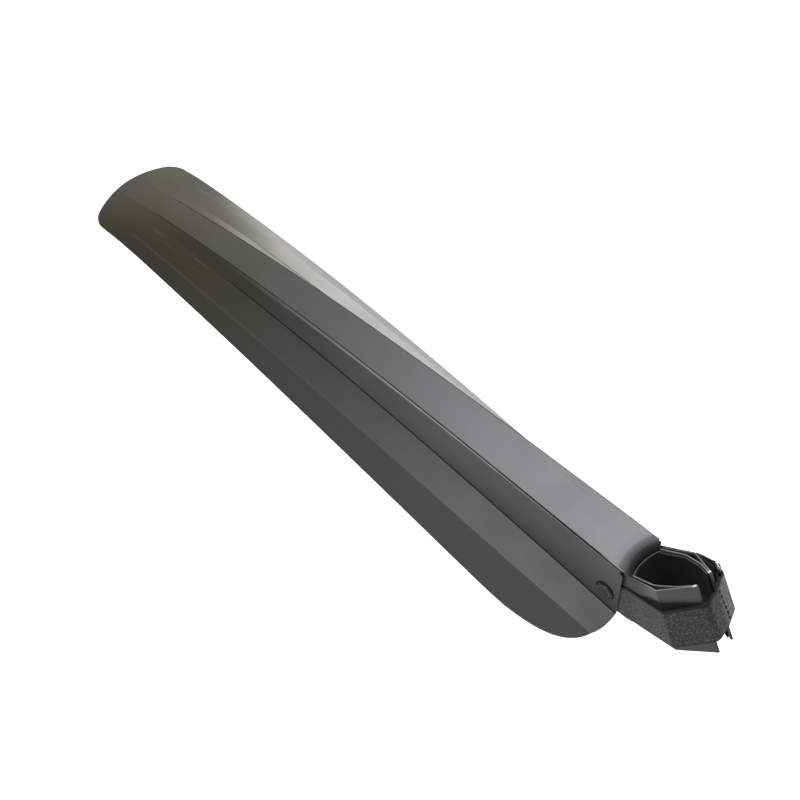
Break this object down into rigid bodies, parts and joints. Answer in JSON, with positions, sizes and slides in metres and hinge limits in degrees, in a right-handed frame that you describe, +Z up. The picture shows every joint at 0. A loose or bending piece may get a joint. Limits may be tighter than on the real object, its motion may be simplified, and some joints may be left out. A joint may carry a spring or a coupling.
{
  "type": "bicycle mudguard",
  "caption": "Slim rear mudguard folded from one creased sheet, with a padded cradle and strap that hang it on the seatpost.",
  "frame": {"origin": "on the seatpost's axis, halfway down the cradle that holds it", "axes": "+X forward along the flat front of the guard's top band, +Y to the rider's left, +Z up, square to the band; the seatpost leans 27.5 degrees back from +Z"},
  "size_m": [0.5484, 0.1006, 0.0977],
  "materials": {
    "sheet": "satin",
    "pad": "matt",
    "strap": "matt",
    "ring": "polished",
    "rivet": "satin"
  },
  "bodies": {
    "root": {"guard_sheet": "sheet", "cradle_pad": "pad", "short_strap": "strap", "long_strap": "strap", "strap_ring": "ring", "rivet_body_left": "rivet", "rivet_pin_left": "rivet", "rivet_body_right": "rivet", "rivet_pin_right": "rivet"}
  },
  "joints": []
}
